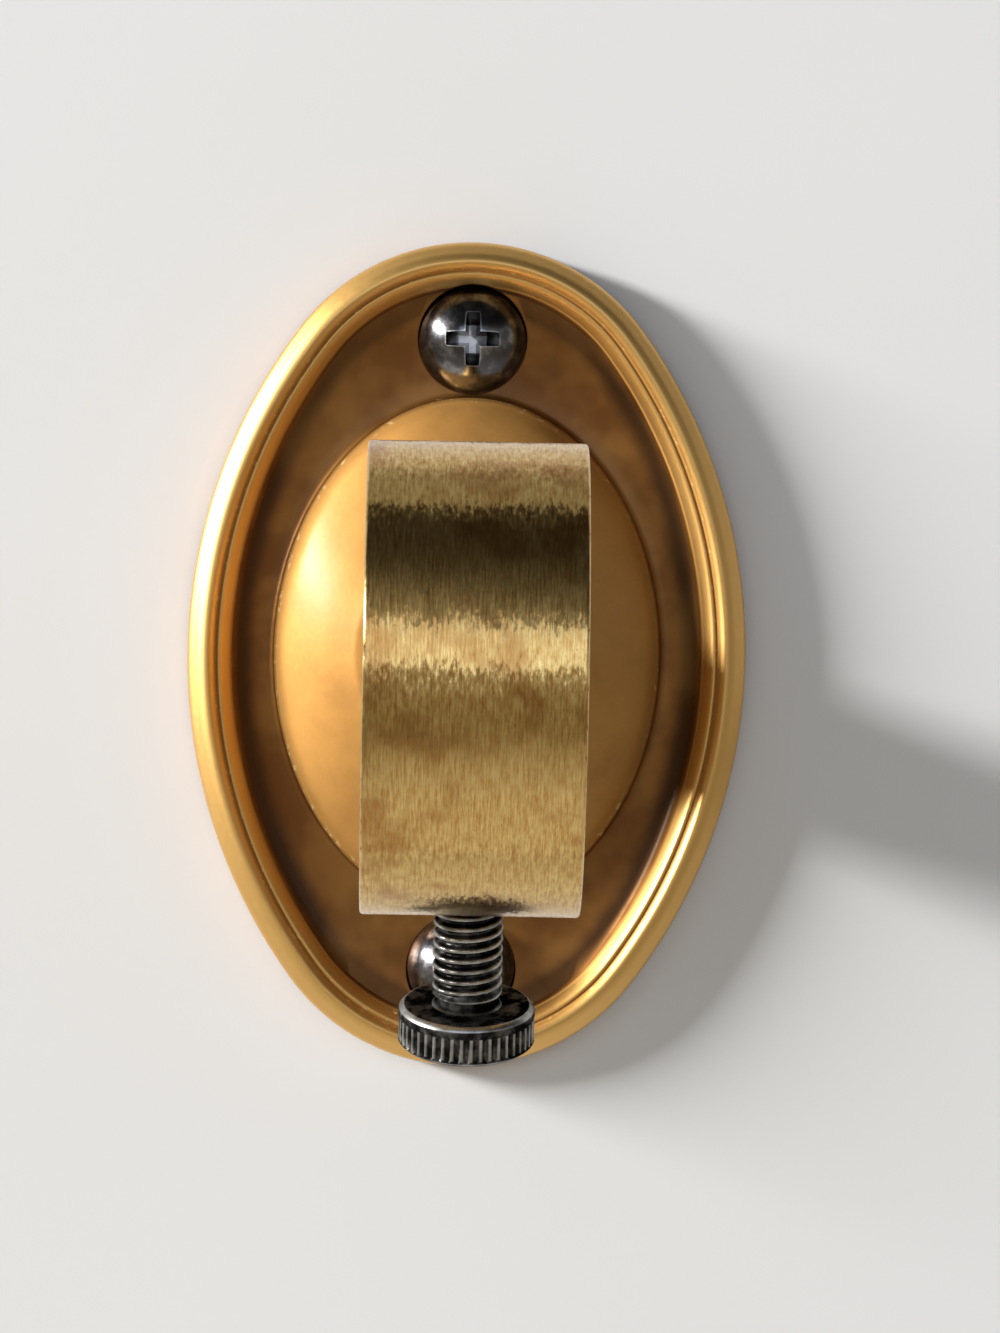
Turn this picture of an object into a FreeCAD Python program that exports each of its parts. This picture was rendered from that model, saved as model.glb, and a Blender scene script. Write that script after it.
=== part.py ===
import FreeCAD
import Part
import Sketcher
import math
import os

# Curtain pole bracket: an oval cast wall plate, a turned arm, a clamp ring and a knurled thumb screw.
# Millimetres and degrees. The origin is the centre of the plate's back, the wall is the plane Y = 0,
# the bracket reaches out along -Y, +Z is up, and the pole would run along X.

SIZES = {
    "plate_width": 45.0,
    "plate_height": 66.4,
    "plate_side_flatness": 0.623,
    "plate_floor": 2.3,
    "rim_width": 3.3,
    "rim_height": 4.0,
    "skirt_height": 2.5,
    "skirt_bevel": 0.6,
    "crest_setback": 1.85,
    "inner_bead_width": 0.6,
    "inner_bead_drop": 0.7,
    "inner_bead_bevel": 0.4,
    "inner_wall_lean": 0.15,
    "dish_depth": 0.75,
    "dish_margin": 0.3,
    "floor_side": 3.7,
    "boss_stretch": 0.48,
    "boss_step": 0.7,
    "boss_rise": 5.3,
    "boss_face_width": 17.6,
    "seat_depth": 0.6,
    "seat_play": 0.05,
    "pocket_width": 13.0,
    "pocket_depth": 5.0,
    "projection": 80.0,
    "arm_width": 12.0,
    "foot_width": 15.0,
    "foot_length": 2.4,
    "foot_bevel": 0.6,
    "pole_bore": 27.6,
    "ring_wall": 2.6,
    "ring_width": 15.2,
    "ring_bevel": 0.3,
    "thumb_tilt": 18.0,
    "thumb_reach": 24.2,
    "thumb_thread": 4.9,
    "thumb_neck": 4.1,
    "thumb_neck_length": 0.9,
    "thumb_head_width": 9.6,
    "thumb_head_length": 3.0,
    "thumb_head_edge": 0.35,
    "thumb_tip_inset": 0.1,
    "thumb_tip_edge": 0.5,
    "knurl_depth": 0.28,
    "knurl_width": 0.46,
    "knurl_count": 44,
    "spot_width": 8.3,
    "spot_depth": 0.5,
    "thread_play": 0.05,
    "hole_play": 0.2,
    "fixing_margin": 0.05,
    "fixing_thread": 4.8,
    "fixing_shank": 3.8,
    "fixing_length": 38.0,
    "fixing_point": 6.0,
    "fixing_head_width": 8.8,
    "fixing_head_length": 3.4,
    "fixing_head_edge": 0.4,
    "fixing_seat": 1.4,
    "fixing_thread_start": 0.3,
    "arm_screw_thread": 4.9,
    "arm_screw_length": 16.0,
    "arm_screw_head_width": 9.5,
    "arm_screw_head_length": 3.6,
    "arm_screw_head_bevel": 1.1,
    "washer_width": 9.2,
    "washer_bore": 5.2,
    "washer_thickness": 1.2,
    "washer_gap": 0.8,
    "washer_slant": 25.0,
    "ring_screw_thread": 3.9,
    "ring_screw_length": 12.0,
    "ring_screw_head_width": 7.6,
    "ring_screw_head_edge": 0.3,
    "ring_screw_inset": 0.1,
    "screw_end_edge": 0.5,
    "tap_extra": 2.0,
    "drill_point": 59.0,
    "recess_span": 5.0,
    "recess_wing": 1.3,
    "recess_depth": 2.2,
    "recess_taper": 0.45,
    "cut_margin": 2.0,
}

# Levels above the wall, lengths and radii that follow from the driving sizes.
DISH_LEVEL = "(sizes.plate_floor - sizes.dish_depth)"
BOSS_WIDTH = "(sizes.plate_width - 2 * (sizes.rim_width + sizes.floor_side))"
BOSS_HEIGHT = f"({BOSS_WIDTH} + sizes.boss_stretch * (sizes.plate_height - sizes.plate_width))"
BOSS_LEVEL = f"({DISH_LEVEL} + sizes.boss_step)"
BOSS_FACE = f"({BOSS_LEVEL} + sizes.boss_rise)"
SEAT_LEVEL = f"({BOSS_FACE} - sizes.seat_depth)"
BORE_RADIUS = "(sizes.pole_bore / 2)"
RING_RADIUS = f"({BORE_RADIUS} + sizes.ring_wall)"
ARM_REACH = f"(sizes.projection - {SEAT_LEVEL})"
RING_SCREW_TOP = f"({BORE_RADIUS} + sizes.ring_screw_inset)"
HEAD_SEAT = "(sizes.fixing_head_width + 2 * sizes.seat_play)"
FIXING_Z = f"(sizes.plate_height / 2 - sizes.rim_width - sizes.fixing_margin - {HEAD_SEAT} / 2)"

# Sections of the boss's flank and of the dish, as shares of the way (in or out, up) from the boss's foot.
BOSS_CURVE = [(0.0, 0.0), (0.17, 0.32), (0.55, 0.68), (1.0, 1.0)]
DISH_CURVE = [(0.0, 0.0), (0.45, 0.2), (0.85, 0.62), (1.0, 1.0)]

# Turns about X that point a turned piece's own +Z away from the wall, or at it.
OUT_OF_WALL = "90"
INTO_WALL = "-90"

# The Sketcher's own numbers for a sketch's axes, and for its origin (an axis and one end of it).
H_AXIS_ID = -1
V_AXIS_ID = -2
ORIGIN_ID = (-1, 1)

doc = FreeCAD.newDocument("curtain_pole_bracket")
sheet = doc.addObject("Spreadsheet::Sheet", "sizes")


def fill_sheet():
    for row, (name, value) in enumerate(SIZES.items(), start=1):
        cell = f"A{row}"
        sheet.set(cell, str(value))
        sheet.setAlias(cell, name)
    doc.recompute()


def number(owner, expression):
    """The present value of an expression of the sheet's sizes."""
    return float(owner.evalExpression(expression))


def placement(x="0", y="0", z="0", turn="0", axis=(1, 0, 0)):
    """An expression for a Placement: a turn about an axis, then a move."""
    move = f"create(<<vector>>; {x}; {y}; {z})"
    about = f"create(<<vector>>; {axis[0]}; {axis[1]}; {axis[2]})"
    return f"create(<<placement>>; {move}; create(<<rotation>>; {about}; {turn}))"


def new_body(label, place=None):
    body = doc.addObject("PartDesign::Body", label)
    body.Label = label
    if place:
        body.setExpression("Placement", place)
    return body


def new_sketch(body, name, plane, offset=None):
    """A sketch on one of the body's own origin planes, moved or turned in its frame by offset."""
    sketch = body.newObject("Sketcher::SketchObject", f"{body.Label}_{name}")
    support = next(item for item in body.Origin.OriginFeatures if item.Role == plane)
    sketch.AttachmentSupport = [(support, "")]
    sketch.MapMode = "FlatFace"
    if offset:
        sketch.setExpression("AttachmentOffset", offset)
    return sketch


def bind(sketch, expression, *constraint):
    """A dimension whose value follows an expression."""
    value = number(sketch, expression)
    index = sketch.addConstraint(Sketcher.Constraint(*constraint, value))
    sketch.setExpression(f"Constraints[{index}]", expression)


def place_point(sketch, geometry, end, x, y):
    if x == "0":
        sketch.addConstraint(Sketcher.Constraint("PointOnObject", geometry, end, V_AXIS_ID))
    else:
        bind(sketch, x, "DistanceX", *ORIGIN_ID, geometry, end)
    if y == "0":
        sketch.addConstraint(Sketcher.Constraint("PointOnObject", geometry, end, H_AXIS_ID))
    else:
        bind(sketch, y, "DistanceY", *ORIGIN_ID, geometry, end)


def arc_between(start, end, radius, bulge):
    """The short arc from start to end, bulging to the left (1) or the right (-1) of the way there."""
    chord = end - start
    middle = start + chord * 0.5
    left = FreeCAD.Vector(-chord.y, chord.x, 0).normalize()
    rise = math.sqrt(max(radius**2 - (chord.Length / 2) ** 2, 0))
    centre = middle - left * (bulge * rise)
    first, last = (end, start) if bulge > 0 else (start, end)
    begin = math.atan2(first.y - centre.y, first.x - centre.x)
    finish = math.atan2(last.y - centre.y, last.x - centre.x)
    if finish < begin:
        finish += 2 * math.pi
    circle = Part.Circle(centre, FreeCAD.Vector(0, 0, 1), radius)
    return Part.ArcOfCircle(circle, begin, finish)


def outline(sketch, corners, arcs=None):
    """A closed outline through the corners, given as pairs of expressions. arcs turns the stretch after
    a corner into an arc: its index gives (radius expression, bulge)."""
    arcs = arcs or {}
    points = [FreeCAD.Vector(number(sketch, x), number(sketch, y), 0) for x, y in corners]
    ends = []
    for index, start in enumerate(points):
        end = points[(index + 1) % len(points)]
        if index in arcs:
            radius, bulge = arcs[index]
            geometry = sketch.addGeometry(arc_between(start, end, number(sketch, radius), bulge), False)
            ends.append((geometry, 2, 1) if bulge > 0 else (geometry, 1, 2))
        else:
            geometry = sketch.addGeometry(Part.LineSegment(start, end), False)
            ends.append((geometry, 1, 2))
    for index, (geometry, first, last) in enumerate(ends):
        following, start_of_following, _ = ends[(index + 1) % len(ends)]
        joint = Sketcher.Constraint("Coincident", geometry, last, following, start_of_following)
        sketch.addConstraint(joint)
    for (geometry, first, _), (x, y) in zip(ends, corners):
        place_point(sketch, geometry, first, x, y)
    for index, (radius, _) in arcs.items():
        bind(sketch, radius, "Radius", ends[index][0])


def oval(sketch, width, height):
    """An upright ellipse about the sketch's origin."""
    half_width = number(sketch, width) / 2
    half_height = number(sketch, height) / 2
    top = FreeCAD.Vector(0, half_height, 0)
    side = FreeCAD.Vector(half_width, 0, 0)
    curve = sketch.addGeometry(Part.Ellipse(top, side, FreeCAD.Vector(0, 0, 0)), False)
    sketch.exposeInternalGeometry(curve)
    long_axis, short_axis = curve + 1, curve + 2
    sketch.addConstraint(Sketcher.Constraint("Coincident", curve, 3, *ORIGIN_ID))
    sketch.addConstraint(Sketcher.Constraint("Vertical", long_axis))
    bind(sketch, height, "Distance", long_axis)
    bind(sketch, width, "Distance", short_axis)


def oval_of_arcs(sketch, width, height, flatness):
    """An upright oval of arcs that run smoothly into each other: a flat one at each side and a round one
    at each end, which starts at the top. With a flatness of 0 the ends shrink to points, and with 1 the
    sides curve as an ellipse's do."""
    across = f"({width} / 2)"
    up = f"({height} / 2)"
    side = f"(((1 - {flatness}) * {across}^2 + (1 + {flatness}) * {up}^2) / (2 * {across}))"
    past_middle = f"({side} - {across})"
    end = f"(({past_middle}^2 + {up}^2 - {side}^2) / (2 * ({up} - {side})))"
    apart = f"({side} - {end})"
    x = f"({past_middle} * {end} / {apart})"
    y = f"({side} * ({up} - {end}) / {apart})"
    corners = [("0", up), (f"-{x}", y), (f"-{x}", f"-{y}"), (x, f"-{y}"), (x, y)]
    radii = (end, side, end, side, end)
    outline(sketch, corners, {index: (radius, -1) for index, radius in enumerate(radii)})


def circle(sketch, diameter, x="0", y="0"):
    centre = FreeCAD.Vector(number(sketch, x), number(sketch, y), 0)
    up = FreeCAD.Vector(0, 0, 1)
    curve = sketch.addGeometry(Part.Circle(centre, up, number(sketch, diameter) / 2), False)
    place_point(sketch, curve, 3, x, y)
    bind(sketch, diameter, "Diameter", curve)


def feature(body, kind, name, profile):
    item = body.newObject(f"PartDesign::{kind}", f"{body.Label}_{name}")
    item.Profile = profile
    return item


def extrude(body, kind, name, profile, length, reverse=False, both_ways=False):
    item = feature(body, kind, name, profile)
    item.setExpression("Length", length)
    item.Reversed = reverse
    if both_ways:
        item.SideType = "Symmetric"
    return item


def revolve(body, kind, name, profile, axis="V_Axis"):
    item = feature(body, kind, name, profile)
    item.ReferenceAxis = (profile, [axis])
    item.Angle = 360
    return item


def loft(body, kind, name, sections, ruled=False):
    item = feature(body, kind, name, sections[0])
    item.Sections = sections[1:]
    item.Ruled = ruled
    return item


def crest_radius(run, drop):
    """The radius of an arc that is level at its crest and falls by drop over run."""
    return f"((({run})^2 + ({drop})^2) / (2 * ({drop})))"


def oval_at(body, name, level, width, height):
    """An oval section at a level above the wall."""
    sketch = new_sketch(body, name, "XZ_Plane", placement(z=level))
    oval(sketch, width, height)
    return sketch


def cut_away_from_wall(body, name, level, diameter, centres, length):
    """Round cuts that start at a level above the wall and run away from it."""
    sketch = new_sketch(body, name, "XZ_Plane", placement(z=level))
    for x, y in centres:
        circle(sketch, diameter, x, y)
    extrude(body, "Pocket", f"{name}_cut", sketch, length, reverse=True)


def rim_moulding(body):
    """The raised rim, swept round: a bevelled skirt, a broad bead, a fine inner bead and a steep wall."""
    spine = new_sketch(body, "rim_path", "XZ_Plane")
    oval_of_arcs(spine, "sizes.plate_width", "sizes.plate_height", "sizes.plate_side_flatness")

    def at(inset, level):
        return (f"-({level})", f"sizes.plate_height / 2 - ({inset})")

    skirt_top = "sizes.skirt_height + sizes.skirt_bevel"
    bead_end = "sizes.rim_width - sizes.inner_bead_width"
    bead_end_level = "sizes.rim_height - sizes.inner_bead_drop"
    wall_top = "sizes.rim_width - sizes.inner_wall_lean"
    corners = [
        ("0", "sizes.plate_height / 2"),
        at("0", "sizes.skirt_height"),
        at("sizes.skirt_bevel", skirt_top),
        at("sizes.crest_setback", "sizes.rim_height"),
        at(bead_end, bead_end_level),
        at(wall_top, f"{bead_end_level} - sizes.inner_bead_bevel"),
        at("sizes.rim_width", DISH_LEVEL),
        ("0", "sizes.plate_height / 2 - sizes.rim_width"),
    ]
    outer_run = "sizes.crest_setback - sizes.skirt_bevel"
    outer_drop = f"sizes.rim_height - ({skirt_top})"
    inner_run = f"{bead_end} - sizes.crest_setback"
    arcs = {
        2: (crest_radius(outer_run, outer_drop), -1),
        3: (crest_radius(inner_run, "sizes.inner_bead_drop"), -1),
    }
    profile = new_sketch(body, "rim_section", "YZ_Plane")
    outline(profile, corners, arcs)
    rim = feature(body, "AdditivePipe", "rim", profile)
    rim.Spine = (spine, [f"Edge{index + 1}" for index in range(spine.GeometryCount)])
    rim.Mode = "Frenet"


def plate_boss(body):
    """The oval boss: a short step out of the dish, then a domed flank up to the arm's round seat."""
    foot = oval_at(body, "boss_foot", DISH_LEVEL, BOSS_WIDTH, BOSS_HEIGHT)
    extrude(body, "Pad", "boss_step", foot, "sizes.boss_step")
    sections = []
    for index, (inward, upward) in enumerate(BOSS_CURVE):
        face_height = "sizes.boss_face_width + sizes.seat_play"
        width = f"{BOSS_WIDTH} + {inward} * (sizes.boss_face_width - {BOSS_WIDTH})"
        height = f"{BOSS_HEIGHT} + {inward} * ({face_height} - {BOSS_HEIGHT})"
        level = f"{BOSS_LEVEL} + {upward} * sizes.boss_rise"
        sections.append(oval_at(body, f"boss_section_{index}", level, width, height))
    loft(body, "AdditiveLoft", "boss", sections)


def wall_plate():
    body = new_body("wall_plate")
    inner_width = "sizes.plate_width - sizes.rim_width"
    inner_height = "sizes.plate_height - sizes.rim_width"
    base = oval_at(body, "floor_outline", "0", inner_width, inner_height)
    extrude(body, "Pad", "floor", base, "sizes.plate_floor")
    rim_moulding(body)

    dish_width = "sizes.plate_width - 2 * (sizes.rim_width + sizes.dish_margin)"
    dish_height = "sizes.plate_height - 2 * (sizes.rim_width + sizes.dish_margin)"
    dish = []
    for index, (outward, upward) in enumerate(DISH_CURVE):
        width = f"{BOSS_WIDTH} + {outward} * ({dish_width} - {BOSS_WIDTH})"
        height = f"{BOSS_HEIGHT} + {outward} * ({dish_height} - {BOSS_HEIGHT})"
        level = f"{DISH_LEVEL} + {upward} * sizes.dish_depth"
        dish.append(oval_at(body, f"dish_section_{index}", level, width, height))
    loft(body, "SubtractiveLoft", "dish", dish)
    plate_boss(body)

    middle = [("0", "0")]
    fixings = [("0", FIXING_Z), ("0", f"-{FIXING_Z}")]
    past_front = f"{BOSS_FACE} + sizes.cut_margin"
    seat_width = "sizes.foot_width + 2 * sizes.seat_play"
    screw_hole = "sizes.arm_screw_thread + 2 * sizes.hole_play"
    fixing_hole = "sizes.fixing_thread + 2 * sizes.hole_play"
    cut_away_from_wall(body, "arm_seat", SEAT_LEVEL, seat_width, middle, past_front)
    cut_away_from_wall(body, "head_pocket", "0", "sizes.pocket_width", middle, "sizes.pocket_depth")
    cut_away_from_wall(body, "arm_screw_hole", "0", screw_hole, middle, past_front)
    cut_away_from_wall(body, "head_seats", "sizes.fixing_seat", HEAD_SEAT, fixings, past_front)
    cut_away_from_wall(body, "fixing_holes", "0", fixing_hole, fixings, past_front)
    return body


def tapped_hole(body, name, mouth, direction, thread, depth):
    """A drilled and tapped hole along the body's own Z, with the drill's point. direction is 1 or -1."""
    radius = f"(({thread}) / 2 + sizes.thread_play)"
    before = f"{mouth} - {direction} * sizes.cut_margin"
    floor = f"{mouth} + {direction} * ({depth})"
    point = f"{floor} + {direction} * {radius} / tan(sizes.drill_point)"
    sketch = new_sketch(body, name, "XZ_Plane")
    outline(sketch, [("0", before), (radius, before), (radius, floor), ("0", point)])
    revolve(body, "Groove", f"{name}_cut", sketch)


def arm():
    body = new_body("arm", placement(y=f"-{SEAT_LEVEL}", turn=OUT_OF_WALL))
    radius = "sizes.arm_width / 2"
    foot = "sizes.foot_width / 2"
    end = f"{ARM_REACH} - sqrt({RING_RADIUS}^2 - ({radius})^2)"
    profile = new_sketch(body, "profile", "XZ_Plane")
    corners = [
        ("0", "0"),
        (foot, "0"),
        (foot, "sizes.foot_length - sizes.foot_bevel"),
        (f"{foot} - sizes.foot_bevel", "sizes.foot_length"),
        (radius, "sizes.foot_length"),
        (radius, end),
        ("0", end),
    ]
    outline(profile, corners)
    revolve(body, "Revolution", "rod", profile)

    saddle = new_sketch(body, "saddle", "YZ_Plane")
    circle(saddle, f"2 * {RING_RADIUS}", "0", ARM_REACH)
    extrude(body, "Pocket", "saddle_cut", saddle, "2 * sizes.arm_width", both_ways=True)

    grip = f"sizes.washer_thickness + {SEAT_LEVEL} - sizes.pocket_depth"
    arm_screw_depth = f"sizes.arm_screw_length - ({grip}) + sizes.tap_extra"
    tapped_hole(body, "foot_thread", "0", 1, "sizes.arm_screw_thread", arm_screw_depth)
    buried = f"sizes.ring_screw_length - ({RING_RADIUS} - {RING_SCREW_TOP}) + sizes.tap_extra"
    ring_side = f"{ARM_REACH} - {RING_RADIUS}"
    tapped_hole(body, "end_thread", f"({ring_side})", -1, "sizes.ring_screw_thread", buried)
    return body


def clamp_ring():
    body = new_body("clamp_ring", placement(y="-sizes.projection"))
    half = "sizes.ring_width / 2"
    bevel = "sizes.ring_bevel"
    corners = [
        (f"-({half} - {bevel})", BORE_RADIUS),
        (f"{half} - {bevel}", BORE_RADIUS),
        (half, f"{BORE_RADIUS} + {bevel}"),
        (half, f"{RING_RADIUS} - {bevel}"),
        (f"{half} - {bevel}", RING_RADIUS),
        (f"-({half} - {bevel})", RING_RADIUS),
        (f"-{half}", f"{RING_RADIUS} - {bevel}"),
        (f"-{half}", f"{BORE_RADIUS} + {bevel}"),
    ]
    section = new_sketch(body, "section", "XY_Plane")
    outline(section, corners)
    revolve(body, "Revolution", "tube", section, "H_Axis")

    tilted = placement(turn="sizes.thumb_tilt", axis=(0, 0, 1))
    thumb_hole = new_sketch(body, "thumb_hole", "YZ_Plane", tilted)
    thread = "(sizes.thumb_thread / 2 + sizes.thread_play)"
    spot = "(sizes.spot_width / 2)"
    spot_floor = f"-({RING_RADIUS} - sizes.spot_depth)"
    outside = f"-({RING_RADIUS} + sizes.cut_margin)"
    inside = f"-({BORE_RADIUS} - sizes.cut_margin)"
    steps = [
        ("0", outside),
        (spot, outside),
        (spot, spot_floor),
        (thread, spot_floor),
        (thread, inside),
        ("0", inside),
    ]
    outline(thumb_hole, steps)
    revolve(body, "Groove", "thumb_hole_cut", thumb_hole)

    screw_hole = new_sketch(body, "screw_hole", "XY_Plane")
    head = "(sizes.ring_screw_head_width / 2 + sizes.seat_play)"
    shank = "(sizes.ring_screw_thread / 2 + sizes.hole_play)"
    cone_top = f"({RING_SCREW_TOP} + sizes.ring_screw_head_edge + sizes.seat_play)"
    steps = [
        ("0", f"{BORE_RADIUS} - sizes.cut_margin"),
        (head, f"{BORE_RADIUS} - sizes.cut_margin"),
        (head, cone_top),
        (shank, f"{cone_top} + {head} - {shank}"),
        (shank, f"{RING_RADIUS} + sizes.cut_margin"),
        ("0", f"{RING_RADIUS} + sizes.cut_margin"),
    ]
    outline(screw_hole, steps)
    revolve(body, "Groove", "screw_hole_cut", screw_hole)
    return body


def cross_outline(sketch, span, wing):
    """A cross of four equal wings about the sketch's origin."""
    reach, half_wing = f"({span}) / 2", f"({wing}) / 2"
    quarter = [(reach, half_wing), (half_wing, half_wing), (half_wing, reach)]
    corners = []
    for _ in range(4):
        corners += quarter
        quarter = [(f"-({y})", x) for x, y in quarter]
    outline(sketch, corners)


def cross_recess(body, top, span="sizes.recess_span", depth="sizes.recess_depth"):
    """The tapered cross recess in a screw's head, which opens at the level top of its own Z."""
    mouth = new_sketch(body, "recess_mouth", "XY_Plane", placement(z=top))
    cross_outline(mouth, span, "sizes.recess_wing")
    floor = new_sketch(body, "recess_floor", "XY_Plane", placement(z=f"{top} - {depth}"))
    cross_outline(floor, f"sizes.recess_taper * {span}", "sizes.recess_taper * sizes.recess_wing")
    loft(body, "SubtractiveLoft", "recess", [mouth, floor], ruled=True)


def wall_screw(label, height):
    """A round-head wood screw with a rolled thread. Its own origin is under the head."""
    place = placement(y="-sizes.fixing_seat", z=height, turn=OUT_OF_WALL)
    body = new_body(label, place)
    head = "sizes.fixing_head_width / 2"
    shank = "sizes.fixing_shank / 2"
    thread = "sizes.fixing_thread / 2"
    thread_start = "-(sizes.fixing_seat + sizes.fixing_thread_start)"
    dome_rise = "sizes.fixing_head_length - sizes.fixing_head_edge"
    corners = [
        ("0", "-sizes.fixing_length"),
        (thread, "-(sizes.fixing_length - sizes.fixing_point)"),
        (thread, thread_start),
        (shank, thread_start),
        (shank, "0"),
        (head, "0"),
        (head, "sizes.fixing_head_edge"),
        ("0", "sizes.fixing_head_length"),
    ]
    profile = new_sketch(body, "profile", "XZ_Plane")
    dome = crest_radius(head, dome_rise)
    outline(profile, corners, {6: (dome, -1)})
    revolve(body, "Revolution", "blank", profile)
    cross_recess(body, "sizes.fixing_head_length")
    return body


def arm_screw():
    """The pan-head machine screw that holds the arm from behind. Its own origin is under the head."""
    seat = "-(sizes.pocket_depth - sizes.washer_thickness)"
    body = new_body("arm_screw", placement(y=seat, turn=INTO_WALL))
    thread = "sizes.arm_screw_thread / 2"
    head = "sizes.arm_screw_head_width / 2"
    bevel = "sizes.arm_screw_head_bevel"
    end_edge = "sizes.screw_end_edge"
    corners = [
        ("0", "-sizes.arm_screw_length"),
        (f"{thread} - {end_edge}", "-sizes.arm_screw_length"),
        (thread, f"-(sizes.arm_screw_length - {end_edge})"),
        (thread, "0"),
        (head, "0"),
        (head, f"sizes.arm_screw_head_length - {bevel}"),
        (f"{head} - {bevel}", "sizes.arm_screw_head_length"),
        ("0", "sizes.arm_screw_head_length"),
    ]
    profile = new_sketch(body, "profile", "XZ_Plane")
    outline(profile, corners)
    revolve(body, "Revolution", "blank", profile)
    cross_recess(body, "sizes.arm_screw_head_length")
    return body


def arm_washer():
    """The split lock washer under the arm screw's head, pressed flat."""
    body = new_body("arm_washer", placement(y="-sizes.pocket_depth", turn=INTO_WALL))
    inner, outer = "sizes.washer_bore / 2", "sizes.washer_width / 2"
    thickness = "sizes.washer_thickness"
    section = new_sketch(body, "section", "XZ_Plane")
    outline(section, [(inner, "0"), (outer, "0"), (outer, thickness), (inner, thickness)])
    revolve(body, "Revolution", "coil", section)
    split = new_sketch(body, "split", "XY_Plane", placement(turn="sizes.washer_slant"))
    half_gap = "sizes.washer_gap / 2"
    far = f"{outer} + sizes.cut_margin"
    gap_corners = [("0", f"-{half_gap}"), (far, f"-{half_gap}"), (far, half_gap), ("0", half_gap)]
    outline(split, gap_corners)
    extrude(body, "Pocket", "split_cut", split, f"4 * {thickness}", both_ways=True)
    return body


def ring_screw():
    """The countersunk machine screw that ties the ring to the arm. Its own origin is the head's top."""
    top = f"-(sizes.projection - {RING_SCREW_TOP})"
    body = new_body("ring_screw", placement(y=top, turn=OUT_OF_WALL))
    thread = "sizes.ring_screw_thread / 2"
    head = "sizes.ring_screw_head_width / 2"
    edge = "sizes.ring_screw_head_edge"
    end_edge = "sizes.screw_end_edge"
    corners = [
        ("0", "-sizes.ring_screw_length"),
        (f"{thread} - {end_edge}", "-sizes.ring_screw_length"),
        (thread, f"-(sizes.ring_screw_length - {end_edge})"),
        (thread, f"-({edge} + {head} - {thread})"),
        (head, f"-{edge}"),
        (head, "0"),
        ("0", "0"),
    ]
    profile = new_sketch(body, "profile", "XZ_Plane")
    outline(profile, corners)
    revolve(body, "Revolution", "blank", profile)
    cross_recess(body, "0", "0.9 * sizes.recess_span", "0.8 * sizes.recess_depth")
    return body


def thumb_screw():
    """The turned thumb screw with a straight-knurled head. Its own origin is the ring's centre, and its
    +Z points from the head to the tip."""
    body = new_body("thumb_screw", placement(y="-sizes.projection", turn="sizes.thumb_tilt"))
    thread = "sizes.thumb_thread / 2"
    neck = "sizes.thumb_neck / 2"
    head = "sizes.thumb_head_width / 2"
    edge = "sizes.thumb_head_edge"
    tip_edge = "sizes.thumb_tip_edge"
    tip = f"-({BORE_RADIUS} + sizes.thumb_tip_inset)"
    face = "-sizes.thumb_reach"
    end = f"{face} - sizes.thumb_head_length"
    corners = [
        ("0", end),
        (f"{head} - {edge}", end),
        (head, f"{end} + {edge}"),
        (head, f"{face} - {edge}"),
        (f"{head} - {edge}", face),
        (neck, face),
        (neck, f"{face} + sizes.thumb_neck_length"),
        (thread, f"{face} + sizes.thumb_neck_length"),
        (thread, f"{tip} - {tip_edge}"),
        (f"{thread} - {tip_edge}", tip),
        ("0", tip),
    ]
    profile = new_sketch(body, "profile", "XZ_Plane")
    outline(profile, corners)
    revolve(body, "Revolution", "blank", profile)

    groove = new_sketch(body, "knurl_section", "XY_Plane", placement(z=end))
    root = f"{head} - sizes.knurl_depth"
    outside = f"{head} + sizes.knurl_depth"
    corners = [(root, "0"), (outside, "-sizes.knurl_width"), (outside, "sizes.knurl_width")]
    outline(groove, corners)
    cut = extrude(body, "Pocket", "knurl_groove", groove, "sizes.thumb_head_length", reverse=True)
    knurl = body.newObject("PartDesign::PolarPattern", "thumb_screw_knurl")
    knurl.Originals = [cut]
    knurl.Axis = (groove, ["N_Axis"])
    knurl.Angle = 360
    knurl.setExpression("Occurrences", "sizes.knurl_count")
    body.Tip = knurl
    return body


def check_and_export(bodies):
    doc.recompute()
    for item in doc.Objects:
        if {"Invalid", "Error"} & set(item.State):
            raise RuntimeError(f"{item.Name} failed: {item.State}")
    os.makedirs("parts", exist_ok=True)
    for body in bodies:
        shape = body.Shape
        if shape.isNull() or not shape.isValid() or len(shape.Solids) != 1:
            raise RuntimeError(f"{body.Label} is not one valid solid")
        shape.exportStep(f"parts/{body.Label}.step")
        print(body.Label, round(shape.Volume, 1), "mm3")


fill_sheet()
check_and_export([
    wall_plate(),
    arm(),
    arm_screw(),
    arm_washer(),
    clamp_ring(),
    ring_screw(),
    thumb_screw(),
    wall_screw("wall_screw_top", FIXING_Z),
    wall_screw("wall_screw_bottom", f"-{FIXING_Z}"),
])
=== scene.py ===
import bpy
import math
from mathutils import Matrix, Vector


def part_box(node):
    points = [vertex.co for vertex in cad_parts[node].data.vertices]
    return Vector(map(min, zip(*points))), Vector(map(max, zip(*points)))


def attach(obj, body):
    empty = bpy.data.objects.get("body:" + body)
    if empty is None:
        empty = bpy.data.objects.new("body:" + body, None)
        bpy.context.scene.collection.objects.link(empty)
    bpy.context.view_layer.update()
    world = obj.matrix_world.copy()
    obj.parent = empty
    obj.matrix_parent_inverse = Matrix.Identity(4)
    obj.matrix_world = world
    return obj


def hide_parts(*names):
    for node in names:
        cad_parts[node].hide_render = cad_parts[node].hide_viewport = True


# Curtain pole bracket: the looks of each piece, the wall behind it, the light and the camera.
# Lengths are in millimetres until a mesh is made. The wall is the plane Y = 0, +Z is up, +X is right.
# A level is a height above the wall, along -Y.

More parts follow.
